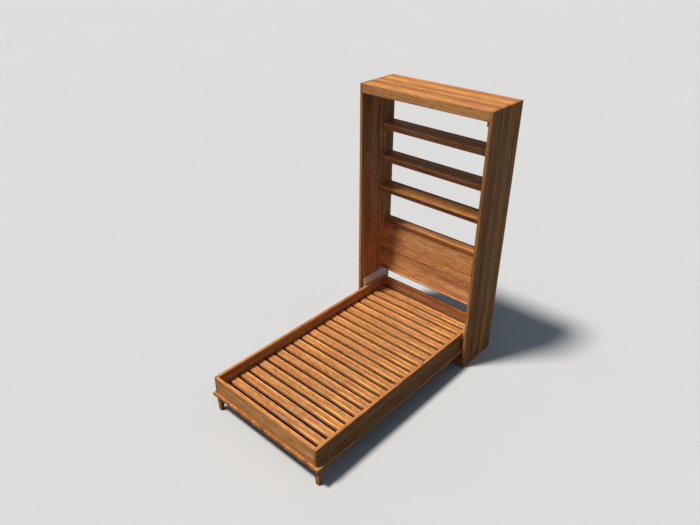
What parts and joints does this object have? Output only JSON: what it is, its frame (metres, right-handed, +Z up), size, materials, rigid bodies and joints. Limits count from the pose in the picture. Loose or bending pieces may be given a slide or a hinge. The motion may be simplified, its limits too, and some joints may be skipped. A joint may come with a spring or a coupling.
{
  "type": "wall bed",
  "caption": "Upright single wall bed, drawn open: open-backed wooden cabinet with shelves and slanted headboard, slatted bed box on a fold-up door panel with folding legs and sprung side lifts.",
  "frame": {"origin": "on the floor at the wall, midway between the cabinet sides, on the back face of the base rail", "axes": "+X across the cabinet to the right seen from the front, +Y into the wall, +Z up; the open bed lies towards -Y"},
  "size_m": [1.15, 2.062, 2.136],
  "materials": {
    "carcass_wood": "satin oiled, grain along each board",
    "shelf_wood": "satin oiled, grain along each board",
    "headboard_wood": "satin oiled, grain across the bed",
    "door_wood": "satin oiled, grain along the door",
    "bed_wood": "satin oiled, grain along each rail",
    "slat_wood": "satin oiled, grain along each slat",
    "leg_wood": "satin oiled",
    "batten_wood": "satin oiled",
    "dowel_wood": "plain",
    "casing_steel": "satin",
    "handle_steel": "satin",
    "zinc_steel": "zinc plated",
    "spring_steel": "oiled",
    "bush_bronze": "plain"
  },
  "bodies": {
    "cabinet": {"side_left": "carcass_wood", "side_right": "carcass_wood", "top_panel": "carcass_wood", "header": "carcass_wood", "plinth": "carcass_wood", "wall_rail": "batten_wood", "base_rail": "batten_wood", "shelf_upper": "shelf_wood", "shelf_middle": "shelf_wood", "shelf_lower": "shelf_wood", "apron_upper": "shelf_wood", "apron_middle": "shelf_wood", "apron_lower": "shelf_wood", "shelf_pins": "zinc_steel", "headboard": "headboard_wood", "headboard_ledge": "headboard_wood", "headboard_lip": "headboard_wood", "headboard_cleat_left": "batten_wood", "headboard_cleat_right": "batten_wood", "stop_block_left": "batten_wood", "stop_block_right": "batten_wood", "cabinet_dowels": "dowel_wood", "lift_plate_left": "zinc_steel", "lift_plate_right": "zinc_steel", "lift_casing_left": "casing_steel", "lift_casing_right": "casing_steel", "pivot_bush_left": "bush_bronze", "pivot_bush_right": "bush_bronze", "spring_mount_left": "zinc_steel", "spring_mount_right": "zinc_steel", "rack_guide_left": "bush_bronze", "rack_guide_right": "bush_bronze", "guide_rods": "zinc_steel", "lift_springs": "spring_steel", "lift_screws": "zinc_steel"},
    "bed": {"door_panel": "door_wood", "side_rail_left": "bed_wood", "side_rail_right": "bed_wood", "head_rail": "bed_wood", "foot_rail": "bed_wood", "slat_ledger_left": "batten_wood", "slat_ledger_right": "batten_wood", "slats": "slat_wood", "slat_screws": "zinc_steel", "bed_dowels": "dowel_wood", "door_handle_left": "handle_steel", "door_handle_right": "handle_steel", "pivot_plate_left": "zinc_steel", "pivot_plate_right": "zinc_steel", "gear_sector_left": "zinc_steel", "gear_sector_right": "zinc_steel", "leg_bracket_left": "zinc_steel", "leg_bracket_right": "zinc_steel", "leg_pins": "zinc_steel", "bed_screws": "zinc_steel"},
    "rack_left": {"lift_rack_left": "zinc_steel"},
    "rack_right": {"lift_rack_right": "zinc_steel"},
    "leg_left": {"leg_left": "leg_wood"},
    "leg_right": {"leg_right": "leg_wood"}
  },
  "joints": [
    {"name": "bed_fold", "type": "hinge", "parent": "cabinet", "child": "bed", "pos_m": [0, -0.273, 0.273], "axis": [-1, 0, 0], "range_deg": [0, 90]},
    {"name": "leg_left_fold", "type": "hinge", "parent": "bed", "child": "leg_left", "pos_m": [-0.516, -2.012, 0.1485], "axis": [1, 0, 0], "range_deg": [0, 90]},
    {"name": "leg_right_fold", "type": "hinge", "parent": "bed", "child": "leg_right", "pos_m": [0.516, -2.012, 0.1485], "axis": [1, 0, 0], "range_deg": [0, 90]},
    {"name": "rack_left_slide", "type": "slide", "parent": "cabinet", "child": "rack_left", "axis": [0, 1, 0], "range_m": [0, 0.07069]},
    {"name": "rack_right_slide", "type": "slide", "parent": "cabinet", "child": "rack_right", "axis": [0, 1, 0], "range_m": [0, 0.07069]}
  ],
  "couplings": [
    {"joint": "rack_left_slide", "follows": "bed_fold", "m_per_rad": 0.045},
    {"joint": "rack_right_slide", "follows": "bed_fold", "m_per_rad": 0.045}
  ]
}
